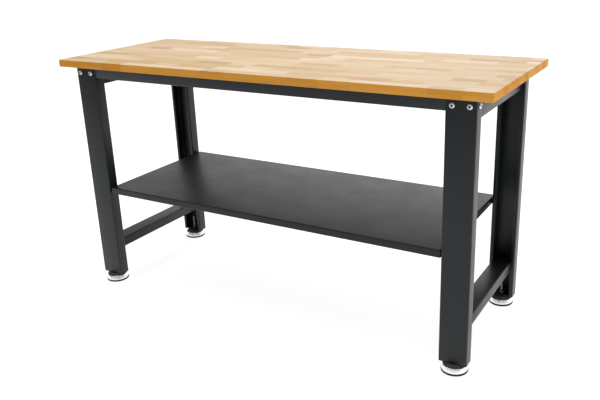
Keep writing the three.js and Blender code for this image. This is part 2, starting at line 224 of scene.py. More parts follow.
def new_group(name, inputs, outputs):
    """An empty shader group that takes a Vector and other values, and puts out values."""
    group = bpy.data.node_groups.new(name, "ShaderNodeTree")
    group.interface.new_socket("Vector", in_out="INPUT", socket_type="NodeSocketVector")
    for label, value in inputs.items():
        socket = group.interface.new_socket(label, in_out="INPUT", socket_type="NodeSocketFloat")
        socket.default_value = value
    for label in outputs:
        group.interface.new_socket(label, in_out="OUTPUT", socket_type="NodeSocketFloat")
    inlet = group.nodes.new("NodeGroupInput")
    outlet = group.nodes.new("NodeGroupOutput")
    return group, inlet.outputs, outlet.inputs


skin, given, result = new_group("fine_skin", {"Grain": 700.0}, ("Speckle", "Mottle", "Height"))
speckle = noise(skin, given["Vector"], given["Grain"])
wave = noise(skin, given["Vector"], sums(skin, "MULTIPLY", given["Grain"], wave_scale), Detail=1.0)
mottle = noise(skin, given["Vector"], mottle_scale, Detail=3.0, Roughness=0.6)
height = sums(skin, "MULTIPLY_ADD", wave, wave_height, sums(skin, "MULTIPLY", speckle, speckle_height))
feed(skin, result, {"Speckle": speckle, "Mottle": mottle, "Height": height})
print("group", skin.name, len(skin.nodes), "nodes")

# %% [markdown]
# All the folded steel carries a charcoal powder coat: nearly black, satin, with a fine texture. The hubs of
# the feet are moulded plastic, and the pads under them are dull rubber. A flat colour would be quicker, but
# no coat is quite even, so the skin mixes two close tones and varies the gloss. One function makes them.

# %% Coated, moulded and rubber finishes
noise_span = (0.3, 0.7)


def skinned_finish(name, dark, light, grain, gloss, bump, depth, shine):
    """A non-metal finish with the shared skin: two tones, a range of roughness, a bump and a shine."""
    finish, tree, shader, coords = blank_finish(name)
    inputs = {"Vector": coords, "Grain": grain}
    speckle, mottle, height = add_node(tree, "Group", inputs, node_tree=skin).outputs
    tone = sums(tree, "MULTIPLY_ADD", speckle, 0.5, sums(tree, "MULTIPLY", mottle, 0.5))
    share = between(tree, tone, noise_span)
    raised = add_node(tree, "Bump", {"Strength": bump, "Distance": depth, "Height": height})
    feed(tree, shader.inputs, {
        "Base Color": blend_colours(tree, share, dark, light),
        "Roughness": between(tree, mottle, noise_span, *gloss),
        "Normal": raised.outputs[0],
        "Specular IOR Level": shine,
    })
    return finish


powder_coat = skinned_finish(
    "charcoal_powder_coat", dark=(0.0032, 0.0052, 0.0068, 1), light=(0.0062, 0.0088, 0.0108, 1),
    grain=850.0, gloss=(0.36, 0.42), bump=0.10, depth=0.20 * mm, shine=0.32,
)
hub_plastic = skinned_finish(
    "black_hub_plastic", dark=(0.036, 0.036, 0.038, 1), light=(0.050, 0.050, 0.053, 1),
    grain=1400.0, gloss=(0.42, 0.52), bump=0.12, depth=0.15 * mm, shine=0.3,
)
pad_rubber = skinned_finish(
    "black_pad_rubber", dark=(0.006, 0.006, 0.006, 1), light=(0.014, 0.014, 0.014, 1),
    grain=1000.0, gloss=(0.72, 0.85), bump=0.2, depth=0.20 * mm, shine=0.5,
)
print("finishes", powder_coat.name, hub_plastic.name, pad_rubber.name)

# %% [markdown]
# The bolts, nuts and screws are bright zinc, and the stems of the feet are a duller zinc. The dishes are a
# pale satin plate. The sockets in the bolts are painted shade: a dark dull steel that stands in for the
# shadow inside them. The nuts on the stems are the same dull steel. Plating is all reflection, so its detail
# is in the roughness: a cloudy patchiness, with fine scratches from handling. One group makes that wear for
# all four metals, each with its own cloud size and depth of scratch.

# %% Plated metal
scratch_stretch = (900, 900, 5200)
scratch_span = (0.62, 0.78)
scratch_strength = 0.15


def stretched(tree, vector, amounts):
    """Coordinates stretched by an amount along each axis."""
    return add_node(tree, "Mapping", {"Vector": vector, "Scale": amounts}).outputs[0]


plating, given, result = new_group("plating_wear", {"Cloud Size": 120.0}, ("Cloud", "Scratch"))
cloud = noise(plating, given["Vector"], given["Cloud Size"], Detail=4.0, Roughness=0.6)
fine = noise(plating, stretched(plating, given["Vector"], scratch_stretch), 1.0, Detail=1.0)
feed(plating, result, {"Cloud": cloud, "Scratch": between(plating, fine, scratch_span)})


def plated_finish(name, dull, bright, cloud_size, gloss, scratch_depth):
    """A plated metal: two tones, a range of roughness and a trace of scratches."""
    finish, tree, shader, coords = blank_finish(name)
    inputs = {"Vector": coords, "Cloud Size": cloud_size}
    cloud, scratch = add_node(tree, "Group", inputs, node_tree=plating).outputs
    share = between(tree, cloud, noise_span)
    marks = {"Strength": scratch_strength, "Distance": scratch_depth, "Height": scratch}
    feed(tree, shader.inputs, {
        "Base Color": blend_colours(tree, share, dull, bright),
        "Roughness": between(tree, cloud, noise_span, *gloss),
        "Normal": add_node(tree, "Bump", marks).outputs[0],
        "Metallic": 1,
    })
    return finish


zinc_plate = plated_finish(
    "bright_zinc_plate", dull=(0.36, 0.37, 0.39, 1), bright=(0.58, 0.59, 0.60, 1),
    cloud_size=160.0, gloss=(0.20, 0.32), scratch_depth=0.04 * mm,
)
# This dark steel paints the shade inside the bolt sockets. The nuts on the stems are the same dull steel.
dull_steel_and_painted_socket_shade = plated_finish(
    "dull_steel_painted_socket_shade", dull=(0.045, 0.045, 0.05, 1), bright=(0.10, 0.10, 0.11, 1),
    cloud_size=300.0, gloss=(0.40, 0.55), scratch_depth=0.04 * mm,
)
stem_zinc = plated_finish(
    "dull_stem_zinc", dull=(0.20, 0.205, 0.21, 1), bright=(0.34, 0.345, 0.35, 1),
    cloud_size=160.0, gloss=(0.28, 0.40), scratch_depth=0.04 * mm,
)
dish_plate = plated_finish(
    "bright_foot_plate", dull=(0.92, 0.92, 0.90, 1), bright=(0.97, 0.97, 0.95, 1),
    cloud_size=90.0, gloss=(0.22, 0.30), scratch_depth=0.001 * mm,
)
print("metals", zinc_plate.name, dull_steel_and_painted_socket_shade.name, stem_zinc.name, dish_plate.name)

# %% [markdown]
# The top is glued up from narrow strips, each made of short staves joined end to end with cut fingers. A
# picture of wood would do, but the pattern can be worked out: the place across the top gives the strip, the
# place along it gives the stave, and a random number for each stave gives its tone. The zigzag of the
# fingers is a triangle wave added along the strip. Each strip starts at a place of its own, and a slow sine
# wave along it makes some staves longer than others.

# %% Layout of the staves
strip_width = 43 * mm
stave_length = 155 * mm
finger_length = 9 * mm
fingers_per_strip = 6.0
strip_stagger = 17.0
sine_stagger = 31.0
sine_rate = 2.3
sine_reach = 0.28

staves, given, result = new_group(
    "glued_staves", {}, ("Tone", "Warmth", "Figure", "Grain", "Pores", "Glue")
)
place = add_node(staves, "SeparateXYZ", {"Vector": given["Vector"]}).outputs
strips = sums(staves, "DIVIDE", place["Y"], strip_width)
strip = sums(staves, "FLOOR", strips)
in_strip = sums(staves, "FRACT", strips)
chance = add_node(staves, "TexWhiteNoise", {"W": strip}, noise_dimensions="1D").outputs["Value"]
teeth = sums(staves, "PINGPONG", sums(staves, "MULTIPLY", in_strip, fingers_per_strip), 0.5)
zigzag = sums(staves, "MULTIPLY", teeth, 2 * finger_length)
along = sums(staves, "DIVIDE", sums(staves, "ADD", place["X"], zigzag), stave_length)
along = sums(staves, "MULTIPLY_ADD", chance, strip_stagger, along)
phase = sums(staves, "MULTIPLY_ADD", chance, sine_stagger, sums(staves, "MULTIPLY", along, sine_rate))
along = sums(staves, "MULTIPLY_ADD", sums(staves, "SINE", phase), sine_reach, along)
stave = sums(staves, "FLOOR", along)
in_stave = sums(staves, "FRACT", along)

# %% [markdown]
# Grain is noise drawn out along the staves, in three sizes: a broad figure, a fine grain and short pores.
# One noise over the whole top would run straight through the joints, so each stave reads it at a place of
# its own. The glue lines are where the nearest side or end of a stave is close.

# %% Grain and glue of the staves
pattern_seed = 3.7
grain_shift = 5.0
figure_stretch = (2.2, 55, 55)
grain_stretch = (9, 420, 420)
pore_stretch = (130, 2100, 2100)
pore_span = (0.60, 0.72)
glue_line = 0.35 * mm

address = add_node(staves, "CombineXYZ", {"X": strip, "Y": stave, "Z": pattern_seed}).outputs[0]
draw = add_node(staves, "TexWhiteNoise", {"Vector": address}, noise_dimensions="3D").outputs
shift = add_node(staves, "VectorMath", {0: draw["Color"], "Scale": grain_shift}, operation="SCALE")
moved = add_node(staves, "VectorMath", {0: given["Vector"], 1: shift.outputs[0]}, operation="ADD")
moved = moved.outputs[0]
pores = noise(staves, stretched(staves, moved, pore_stretch), 1.0, Detail=1.0)
side_gap = sums(staves, "MULTIPLY", sums(staves, "PINGPONG", in_strip, 0.5), strip_width)
end_gap = sums(staves, "MULTIPLY", sums(staves, "PINGPONG", in_stave, 0.5), stave_length)
nearest = sums(staves, "MINIMUM", side_gap, end_gap)
feed(staves, result, {
    "Tone": draw["Value"],
    "Warmth": add_node(staves, "SeparateColor", {"Color": draw["Color"]}).outputs[1],
    "Figure": noise(staves, stretched(staves, moved, figure_stretch), 1.0, Detail=3.0, Distortion=0.6),
    "Grain": noise(staves, stretched(staves, moved, grain_stretch), 1.0, Detail=3.0, Roughness=0.6),
    "Pores": between(staves, pores, pore_span),
    "Glue": between(staves, nearest, (0.0, glue_line), 1.0, 0.0),
})
print("group", staves.name, len(staves.nodes), "nodes")

# %% [markdown]
# The face of the top is pale under a clear lacquer, and its tones are paler and whiter still: painted sheen,
# standing in for the light from above. Its edges are a darker amber, partly the lacquered edge's own colour
# and partly painted shade. One finish could turn darker near the edges, but two finishes on two sets of
# faces keep the line between them sharp. Both are the same staves, so one function makes both: a ramp of
# tones, a warm tint on some staves, and one deep colour laid over it by the figure, the grain, the pores and
# the glue.

# %% Wood finishes
tint_share = 0.28
figure_span = (0.42, 0.72)
streak_span = (0.45, 0.75)
pore_share = 0.22
pore_sink = -0.7
gloss_range = 0.12


def tone_ramp(tree, value, tones):
    """A colour from evenly spaced tones."""
    ramp = add_node(tree, "ValToRGB", {"Fac": value})
    stops = ramp.color_ramp.elements
    while len(stops) < len(tones):
        stops.new(0.5)
    for index, tone in enumerate(tones):
        stops[index].position = index / (len(tones) - 1)
        stops[index].color = tone
    return ramp.outputs[0]


def wood_finish(name, tones, warm, deep, figure_share, glue_share, gloss, shine):
    """Lacquered staves: their tones, tint and grain, and the lacquer's roughness and shine."""
    finish, tree, shader, coords = blank_finish(name)
    outputs = add_node(tree, "Group", {"Vector": coords}, node_tree=staves).outputs
    tone, warmth, figure, grain, pores, glue = outputs
    tint = sums(tree, "MULTIPLY", warmth, tint_share)
    colour = blend_colours(tree, tint, tone_ramp(tree, tone, tones), warm)
    layers = [
        between(tree, figure, figure_span, 0.0, figure_share),
        between(tree, grain, streak_span, 0.0, figure_share),
        sums(tree, "MULTIPLY", pores, pore_share),
        sums(tree, "MULTIPLY", glue, glue_share),
    ]
    for layer in layers:
        colour = blend_colours(tree, layer, colour, deep)
    rise = sums(tree, "MULTIPLY_ADD", pores, pore_sink, grain)
    raised = add_node(tree, "Bump", {"Strength": 0.06, "Distance": 0.3 * mm, "Height": rise})
    feed(tree, shader.inputs, {
        "Base Color": colour,
        "Roughness": between(tree, grain, noise_span, gloss, gloss + gloss_range),
        "Normal": raised.outputs[0],
        "Specular IOR Level": shine,
        "Coat Weight": 0.06,
        "Coat Roughness": 0.2,
    })
    return finish


# Painted sheen: these face tones are paler and whiter than the wood, standing in for the light from above.
face_tones_painted_sheen = [
    (0.378, 0.190, 0.040, 1), (0.442, 0.300, 0.094, 1), (0.494, 0.326, 0.160, 1),
    (0.525, 0.386, 0.210, 1), (0.612, 0.486, 0.318, 1),
]
face_wood_painted_sheen = wood_finish(
    "pale_stave_face_painted_sheen", face_tones_painted_sheen, warm=(0.56, 0.34, 0.19, 1), deep=(0.34, 0.17, 0.045, 1),
    figure_share=0.24, glue_share=0.22, gloss=0.36, shine=0.4,
)
# Painted shade: these edge tones are the edge's own amber, made darker as well to stand in for shade.
edge_tones_painted_shade = [
    (0.480, 0.204, 0.034, 1), (0.545, 0.248, 0.044, 1), (0.565, 0.278, 0.046, 1), (0.610, 0.304, 0.056, 1),
]
edge_wood_painted_shade = wood_finish(
    "amber_stave_edge_painted_shade", edge_tones_painted_shade, warm=(0.57, 0.20, 0.024, 1), deep=(0.32, 0.10, 0.014, 1),
    figure_share=0.22, glue_share=0.20, gloss=0.40, shine=0.003,
)
print("wood", face_wood_painted_sheen.name, edge_wood_painted_shade.name)

# %% [markdown]
# Modelling by hand means starting from a primitive, choosing some of its points, edges or faces and using a
# tool on them. These small helpers do the starting and the choosing in code: an item is chosen by where it
# lies or which way it runs or faces, which stays right when the sizes change.

# %% Helpers for starting and choosing
nearly_straight = 0.9


def clear_selection():
    """Back to object mode with nothing chosen."""
    if bpy.context.object and bpy.context.object.mode != "OBJECT":
        bpy.ops.object.mode_set(mode="OBJECT")
    bpy.ops.object.select_all(action="DESELECT")


def work_on(piece):
    """Choose only this piece."""
    clear_selection()
    piece.select_set(True)
    bpy.context.view_layer.objects.active = piece


def rename(piece, name):
    """Give a piece and its mesh the same name."""
    piece.name = name
    piece.data.name = name


def begin(name, add, **settings):
    """Add a primitive as the start of a piece, with its place and size in its mesh."""
    clear_selection()
    add(**settings)
    piece = bpy.context.object
    rename(piece, name)
    bpy.ops.object.transform_apply(location=True, rotation=True, scale=True)
    return piece


def block(name, one, other):
    """A box between two opposite corners."""
    one, other = Vector(one), Vector(other)
    size = [abs(side) for side in other - one]
    return begin(name, bpy.ops.mesh.primitive_cube_add, size=1, location=(one + other) / 2, scale=size)


def pick(piece, kind, test):
    """Edit the piece with only those points, edges or faces chosen that pass the test."""
    work_on(piece)
    bpy.ops.object.mode_set(mode="EDIT")
    bpy.ops.mesh.select_mode(type=kind)
    bpy.ops.mesh.select_all(action="DESELECT")
    mesh = bmesh.from_edit_mesh(piece.data)
    items = {"VERT": mesh.verts, "EDGE": mesh.edges, "FACE": mesh.faces}[kind]
    for item in items:
        if test(item):
            item.select_set(True)
    mesh.select_flush_mode()
    bmesh.update_edit_mesh(piece.data)


def pick_all(piece):
    """Edit the piece with all of its faces chosen."""
    pick(piece, "FACE", lambda face: True)


def runs_along(axis):
    """A test for edges that run along an axis."""
    return lambda edge: abs((edge.verts[0].co - edge.verts[1].co).normalized()[axis]) > nearly_straight


def faces_along(axis):
    """A test for faces that look along an axis, either way."""
    return lambda face: abs(face.normal[axis]) > nearly_straight


print("choosing helpers ready")

# %% [markdown]
# The rest of the helpers finish a piece. Modifiers are added and applied at once, so that the mesh is final.
# Where many pieces are alike, one model is made and copied, each copy with its own mesh. The last helper
# hands a piece to the frame, so that it moves with its body and stands in for its CAD node.

# %% Helpers for shaping and handing over
smooth_angle = radians(32)


def modify(piece, kind, **settings):
    """Add a modifier and apply it."""
    work_on(piece)
    tool = piece.modifiers.new(kind.title(), kind)
    for key, value in settings.items():
        setattr(tool, key, value)
    bpy.ops.object.modifier_apply(modifier=tool.name)


def ease_edges(piece, width, sharper_than=50):
    """Break every edge that is sharper than an angle."""
    angle = radians(sharper_than)
    modify(piece, "BEVEL", width=width, segments=2, limit_method="ANGLE", angle_limit=angle)


def combine(piece, tool, operation):
    """Cut a piece with a tool, or keep what they share, and throw the tool away."""
    modify(piece, "BOOLEAN", operation=operation, solver="EXACT", object=tool)
    bpy.data.objects.remove(tool)


def join_pieces(main, *others):
    """Make one object of several."""
    work_on(main)
    for other in others:
        other.select_set(True)
    bpy.ops.object.join()
    return main


def copy_to(model, name, place, turn=Matrix.Identity(4)):
    """A copy with its own mesh, turned and then moved to its place."""
    work_on(model)
    bpy.ops.object.duplicate(linked=False)
    piece = bpy.context.object
    rename(piece, name)
    piece.matrix_world = Matrix.Translation(place) @ turn
    bpy.ops.object.transform_apply(location=True, rotation=True, scale=True)
    return piece


def two_finishes(piece, main, other, test):
    """Dress a piece in two finishes, the other one on the faces that pass the test."""
    clear_selection()
    piece.data.materials.append(main)
    piece.data.materials.append(other)
    for face in piece.data.polygons:
        face.material_index = 1 if test(face) else 0


def hand_over(piece, finish, body, slot, *nodes):
    """Smooth the round faces, dress the piece, give it to its body and hide its nodes. The slot is not used.
    """
    work_on(piece)
    bpy.ops.object.shade_smooth_by_angle(angle=smooth_angle)
    if not piece.data.materials:
        piece.data.materials.append(finish)
    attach(piece, body)
    if nodes:
        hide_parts(*nodes)
    print(piece.name, len(piece.data.polygons), "faces")


print("shaping helpers ready")

# %% [markdown]
# The top is one slab. On the real bench its long edges and corners are eased with a round cutter and a pass
# of sandpaper, so a bare cube would look wrong where the light catches the edge. The upright corners are
# rounded first and a little more than the rest, and then all the long edges are rounded in one go. The
# edges carry a darker amber than the face, partly their own lacquer and partly painted shade, and the face's
# paler tones hold painted sheen, so they get a finish of their own.

# %% Wooden top
corner_round = 2.5 * mm
edge_round = 1.5 * mm
face_turn = 0.97
Y, Z = 1, 2

slab = block("laminated_top", *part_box("work_top"))
pick(slab, "EDGE", runs_along(Z))
bpy.ops.mesh.bevel(offset=corner_round, segments=5, affect="EDGES")
pick(slab, "FACE", faces_along(Z))
bpy.ops.mesh.region_to_loop()
bpy.ops.mesh.bevel(offset=edge_round, segments=4, affect="EDGES")
# The upright faces get the darker amber with painted shade, and the flat face gets the paler tones with
# painted sheen.
two_finishes(slab, face_wood_painted_sheen, edge_wood_painted_shade, lambda face: abs(face.normal.z) <= face_turn)
hand_over(slab, face_wood_painted_sheen, "frame", "laminated_wood", "work_top")

# %% [markdown]
# The frame is bent from sheet steel. A bent sheet could be carved from a block, but it is easier to follow
# the press brake: draw the section's outer line, sweep it to its length, round the folds, and only then
# give the sheet its thickness towards the inside. The cut edges are broken last, as on powder-coated work,
# where a sharp edge would not hold the paint.

# %% Folded sheet
bend_steps = 5
fold_angle = radians(40)
paint_break = 0.4 * mm
plane_corner = Vector((-0.5, -0.5, 0.0))


def bent_line(name, corners):
    """A line of straight runs through the corners, drawn from one corner of a plane."""
    corners = [Vector(corner) for corner in corners]
    piece = begin(name, bpy.ops.mesh.primitive_plane_add, size=1)
    pick(piece, "VERT", lambda point: (point.co - plane_corner).length > mm)
    bpy.ops.mesh.delete(type="VERT")
    bpy.ops.mesh.select_all(action="SELECT")
    bpy.ops.transform.translate(value=corners[0] - plane_corner)
    for start, end in zip(corners, corners[1:]):
        bpy.ops.mesh.extrude_region_move(TRANSFORM_OT_translate={"value": end - start})
    bpy.ops.mesh.select_all(action="SELECT")
    return piece


def face_outwards(piece):
    """Turn the faces of an open shape away from its middle."""
    clear_selection()
    centre = sum((point.co for point in piece.data.vertices), Vector()) / len(piece.data.vertices)
    lean = sum(face.area * face.normal.dot(face.center - centre) for face in piece.data.polygons)
    if lean < 0:
        pick_all(piece)
        bpy.ops.mesh.flip_normals()


def thicken(piece, sheet):
    """Give a thin shape the thickness of its sheet, towards the inside."""
    modify(piece, "SOLIDIFY", thickness=sheet, offset=-1, use_even_offset=True)


def round_and_thicken(piece, bend, sheet):
    """Round the folds of a thin shape, then thicken it."""
    pick_all(piece)
    bpy.ops.mesh.normals_make_consistent(inside=False)
    face_outwards(piece)
    modify(piece, "BEVEL", width=bend, segments=bend_steps, limit_method="ANGLE", angle_limit=fold_angle)
    thicken(piece, sheet)


def folded_sheet(name, corners, along, bend, sheet):
    """A sheet with folds: the outer corners of its section, swept along a straight way."""
    piece = bent_line(name, corners)
    bpy.ops.mesh.extrude_region_move(TRANSFORM_OT_translate={"value": along})
    round_and_thicken(piece, bend, sheet)
    return piece


def coat_steel(piece, node):
    """Break the edges of a steel piece, powder coat it and give it to the frame."""
    ease_edges(piece, paint_break)
    hand_over(piece, powder_coat, "frame", "powder_coat", node)


print("folds have", bend_steps, "steps")

# %% [markdown]
# A leg is a channel. Its flat web faces outwards, and its sides are folded in to lips that keep it stiff.
# The rail goes into the leg from the middle of the bench, so the inner side has a notch at its top. On the
# real leg the notch is punched in the flat sheet. Here it is cut with a box after the folding, because then
# the sheet need not be laid out flat.

# %% Legs
leg_sheet = 2 * mm
leg_bend = 4 * mm
leg_lip = 13 * mm
rail_seat = 0.3 * mm
past = 5 * mm
rows = {"front": -1, "rear": 1}
ends = {"left": -1, "right": 1}
leg_places = [
    (f"{row}_{end}", row_side, end_side)
    for row, row_side in rows.items() for end, end_side in ends.items()
]
notch_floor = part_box("rail_front")[0].z - rail_seat


def outer_and_inner(low, high, side):
    """The two ends of a range, with the end towards a side first."""
    return (low, high) if side < 0 else (high, low)


def make_leg(tag, row_side, end_side):
    """A lipped channel: web outwards, lips inwards, notched for the rail at its top."""
    low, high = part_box(f"leg_{tag}")
    web, lip = outer_and_inner(low.y, high.y, row_side)
    section = [
        (low.x + leg_lip, lip, low.z), (low.x, lip, low.z), (low.x, web, low.z),
        (high.x, web, low.z), (high.x, lip, low.z), (high.x - leg_lip, lip, low.z),
    ]
    leg = folded_sheet(f"leg_channel_{tag}", section, (0, 0, high.z - low.z), leg_bend, leg_sheet)
    inner = outer_and_inner(low.x, high.x, end_side)[1]
    notch = block(
        "cutter",
        (inner - end_side * past, web - row_side * leg_sheet, notch_floor),
        (inner + end_side * (leg_lip + past), lip - row_side * past, high.z + past),
    )
    combine(leg, notch, "DIFFERENCE")
    coat_steel(leg, f"leg_{tag}")


for leg_place in leg_places:
    make_leg(*leg_place)

# %% [markdown]
# A long rail runs under the top at the front and at the back. It is a channel, open towards the middle, and
# its ends slip inside the legs, where a small tab turned across each end takes the bolt in the leg's side.
# The tab is a plate of its own here, joined to the channel, because a fold across a channel's end would
# need the flanges cut back first.

# %% Long rails
rail_sheet = 2 * mm
rail_bend = 4 * mm
tab_reach = 2 * mm
tab_side_gap = 2 * mm


def make_rail(row, row_side):
    """A channel along X with its open side inwards and a tab at each end."""
    low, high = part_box(f"rail_{row}")
    face, back = outer_and_inner(low.y, high.y, row_side)
    start = low.x + tab_reach
    end = high.x - tab_reach
    section = [(start, back, high.z), (start, face, high.z), (start, face, low.z), (start, back, low.z)]
    rail = folded_sheet(f"long_rail_{row}", section, (end - start, 0, 0), rail_bend, rail_sheet)
    tabs = []
    for tip, root in ((low.x, start + rail_sheet), (high.x, end - rail_sheet)):
        tab_low = (tip, low.y + tab_side_gap, low.z + rail_sheet / 2)
        tab_high = (root, high.y - tab_side_gap, high.z - rail_sheet / 2)
        tabs.append(block("tab", tab_low, tab_high))
    join_pieces(rail, *tabs)
    coat_steel(rail, f"rail_{row}")


for row, row_side in rows.items():
    make_rail(row, row_side)

# %% [markdown]
# Each end of the bench is closed under the top by a deep channel, open below, that is welded between the
# lips of a front and a rear leg. It is folded like the legs. Lower down a rectangular tube ties the same
# two legs together. The tube starts as a box: its long edges are rounded, its ends are taken off and the
# wall is thickened inwards, which gives a hollow tube with the right corners.

# %% Side rails and stretchers
side_sheet = 2 * mm
side_bend = 4 * mm


def make_side_rail(end):
    """A deep channel along Y, open below."""
    low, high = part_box(f"side_rail_{end}")
    section = [
        (low.x, low.y, low.z), (low.x, low.y, high.z), (high.x, low.y, high.z), (high.x, low.y, low.z),
    ]
    rail = folded_sheet(f"side_channel_{end}", section, (0, high.y - low.y, 0), side_bend, side_sheet)
    coat_steel(rail, f"side_rail_{end}")


def make_stretcher(end):
    """A rectangular tube along Y with rounded corners and open ends."""
    tube = block(f"low_stretcher_{end}", *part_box(f"stretcher_{end}"))
    pick(tube, "EDGE", runs_along(Y))
    bpy.ops.mesh.bevel(offset=side_bend, segments=bend_steps, affect="EDGES")
    pick(tube, "FACE", faces_along(Y))
    bpy.ops.mesh.delete(type="FACE")
    thicken(tube, side_sheet)
    coat_steel(tube, f"stretcher_{end}")


for end in ends:
    make_side_rail(end)
    make_stretcher(end)

# %% [markdown]
# The shelf is a tray of thinner sheet, turned upside down: a flat top with all four edges folded down, and
# the long edges folded once more into a short return that keeps them straight. It starts as a flat plane
# and is folded by extruding its edges, much as the real sheet is folded. At each bolt a small block fills
# the gap between the tray and the leg.

# %% Shelf
shelf_sheet = 1.5 * mm
shelf_bend = 3.5 * mm
shelf_return = 12 * mm
seat_rise = 4 * mm
seat_length = 26 * mm
seat_height = 18 * mm


def on_line(y, z):
    """A test for edges that lie at one place in Y and Z."""
    return lambda edge: all(abs(point.co.y - y) < mm and abs(point.co.z - z) < mm for point in edge.verts)


low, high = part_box("shelf")
size = Vector((high.x - low.x - 2 * seat_rise, high.y - low.y, 1))
centre = Vector((0, (low.y + high.y) / 2, high.z))
tray = begin("shelf_tray", bpy.ops.mesh.primitive_plane_add, size=1, location=centre)
pick_all(tray)
bpy.ops.transform.resize(value=size, center_override=centre)
bpy.ops.mesh.region_to_loop()
bpy.ops.mesh.extrude_edges_move(TRANSFORM_OT_translate={"value": (0, 0, low.z - high.z)})
mitre = (size.x - 2 * shelf_return) / size.x
for side, inwards in ((low.y, shelf_return), (high.y, -shelf_return)):
    pick(tray, "EDGE", on_line(side, low.z))
    bpy.ops.mesh.extrude_edges_move(TRANSFORM_OT_translate={"value": (0, inwards, 0)})
    bpy.ops.transform.resize(value=(mitre, 1, 1), center_override=(0, side + inwards, low.z))
round_and_thicken(tray, shelf_bend, shelf_sheet)

seats = []
for tag, row_side, end_side in leg_places:
    bolt = sum(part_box(f"shelf_bolt_{tag}"), Vector()) / 2
    tip = outer_and_inner(low.x, high.x, end_side)[0]
    root = tip - end_side * (seat_rise + shelf_sheet / 2)
    seat_low = (root, bolt.y - seat_length / 2, bolt.z - seat_height / 2)
    seat_high = (tip, bolt.y + seat_length / 2, bolt.z + seat_height / 2)
    seats.append(block("seat", seat_low, seat_high))
join_pieces(tray, *seats)
coat_steel(tray, "shelf")

# %% [markdown]
# Round pieces are turned, like work on a lathe: half of the section is drawn as a line from the axis and
# back to it, and Spin carries it once round. The seam and the points on the axis are merged afterwards,
# and only then are the faces turned outwards, because an open seam can mislead that step.

# %% Turned pieces
merge_distance = 0.002 * mm
turned_steps = 40


def half_section(name, outline):
    """A line through points of radius and height."""
    return bent_line(name, [(radius, 0, height) for radius, height in outline])


def close_seams():
    """Merge the points of the edited piece that lie together, and turn its faces outwards."""
    bpy.ops.mesh.select_all(action="SELECT")
    bpy.ops.mesh.remove_doubles(threshold=merge_distance)
    bpy.ops.mesh.normals_make_consistent(inside=False)
    clear_selection()


def turned(name, outline, steps):
    """A solid of revolution about Z from points of radius and height."""
    piece = half_section(name, outline)
    bpy.ops.mesh.spin(steps=steps, angle=2 * pi, center=(0, 0, 0), axis=(0, 0, 1))
    close_seams()
    return piece


def bar(name, radius, low, high, place=(0, 0), sides=turned_steps):
    """A round or many-sided bar along Z between two heights."""
    where = (place[0], place[1], (low + high) / 2)
    add = bpy.ops.mesh.primitive_cylinder_add
    return begin(name, add, vertices=sides, radius=radius, depth=high - low, location=where)


def to_corner(across_flats):
    """The radius at the corners of a hexagon."""
    return across_flats / 2 / cos(pi / 6)


print("round pieces have", turned_steps, "sides")

# %% [markdown]
# Every bolt has a low domed head with a hexagon socket. The dome is a quarter of an ellipse between the rim
# and the flat round the socket, worked out in a few steps, and the socket is a hexagon cut down into it.
# One bolt of each size is modelled standing along Z, with the socket in a dark dull steel as painted shade
# and the rest in zinc.

# %% Button-head bolts
Fastener = namedtuple("Fastener", "shank head head_height socket nut_flats nut_bore tail")
frame_size = Fastener(5 * mm, 9 * mm, 5 * mm, 7 * mm, nut_flats=17 * mm, nut_bore=5.1 * mm, tail=1 * mm)
tray_size = Fastener(4 * mm, 7 * mm, 4.4 * mm, 5 * mm, nut_flats=13 * mm, nut_bore=4.1 * mm, tail=2 * mm)
head_seat = 0.3 * mm
head_rim = 1.0 * mm
socket_flat = 0.9 * mm
socket_depth = 0.6
side_margin = 0.5 * mm
top_margin = 0.1 * mm
dome_steps = 6
fine_break = 0.2 * mm


def bolt_outline(size, length, flat):
    """Half of a bolt's section, from the tip of its shank to the middle of its head."""
    shank, head = size.shank, size.head
    outline = [(0, -length), (shank - head_rim, -length), (shank, head_rim - length), (shank, head_seat)]
    outline.append((head, head_seat))
    for step in range(dome_steps + 1):
        angle = step / dome_steps * pi / 2
        radius = flat + (head - flat) * cos(angle)
        outline.append((radius, head_seat + head_rim + (size.head_height - head_rim) * sin(angle)))
    return outline + [(0, head_seat + size.head_height)]


def button_head_bolt(name, size, full_length):
    """A bolt along Z: its head above zero, its shank below."""
    flat = to_corner(size.socket) + socket_flat
    bolt = turned(name, bolt_outline(size, full_length - head_seat - size.head_height, flat), turned_steps)
    top = head_seat + size.head_height
    socket_floor = top - socket_depth * size.head_height
    combine(bolt, bar("cutter", to_corner(size.socket), socket_floor, top + past, sides=6), "DIFFERENCE")
    ease_edges(bolt, fine_break)

    # The faces inside the socket get the dark steel: painted shade.
    def in_painted_socket_shade(face):
        near_axis = face.center.xy.length < flat - side_margin
        return near_axis and socket_floor - mm < face.center.z < top - top_margin

    two_finishes(bolt, zinc_plate, dull_steel_and_painted_socket_shade, in_painted_socket_shade)
    return bolt


low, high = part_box("web_bolt_front_left_inner")
frame_bolt = button_head_bolt("frame_bolt", frame_size, (high - low).y)
low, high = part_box("shelf_bolt_front_left")
tray_bolt = button_head_bolt("tray_bolt", tray_size, (high - low).x)
print("frame bolt", len(frame_bolt.data.polygons), "faces, tray bolt", len(tray_bolt.data.polygons), "faces")

# %% [markdown]
# Each leg has two bolts through its web and one through its outer side, all into the rail, and one through
# its inner side into the shelf. A bolt's node tells where its head ends and which way it lies, so every copy
# is turned to face that way and moved until the tops of both heads meet.

# %% Bolts in their places
def end_of(node, direction):
    """The middle of the side of a node's box that looks in a direction."""
    low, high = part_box(node)
    reach = (high - low) / 2
    return (low + high) / 2 + Vector(way * half for way, half in zip(direction, reach))


def facing(direction):
    """The turn that points a bolt's head along a direction."""
    return direction.to_track_quat("Z", "Y").to_matrix().to_4x4()


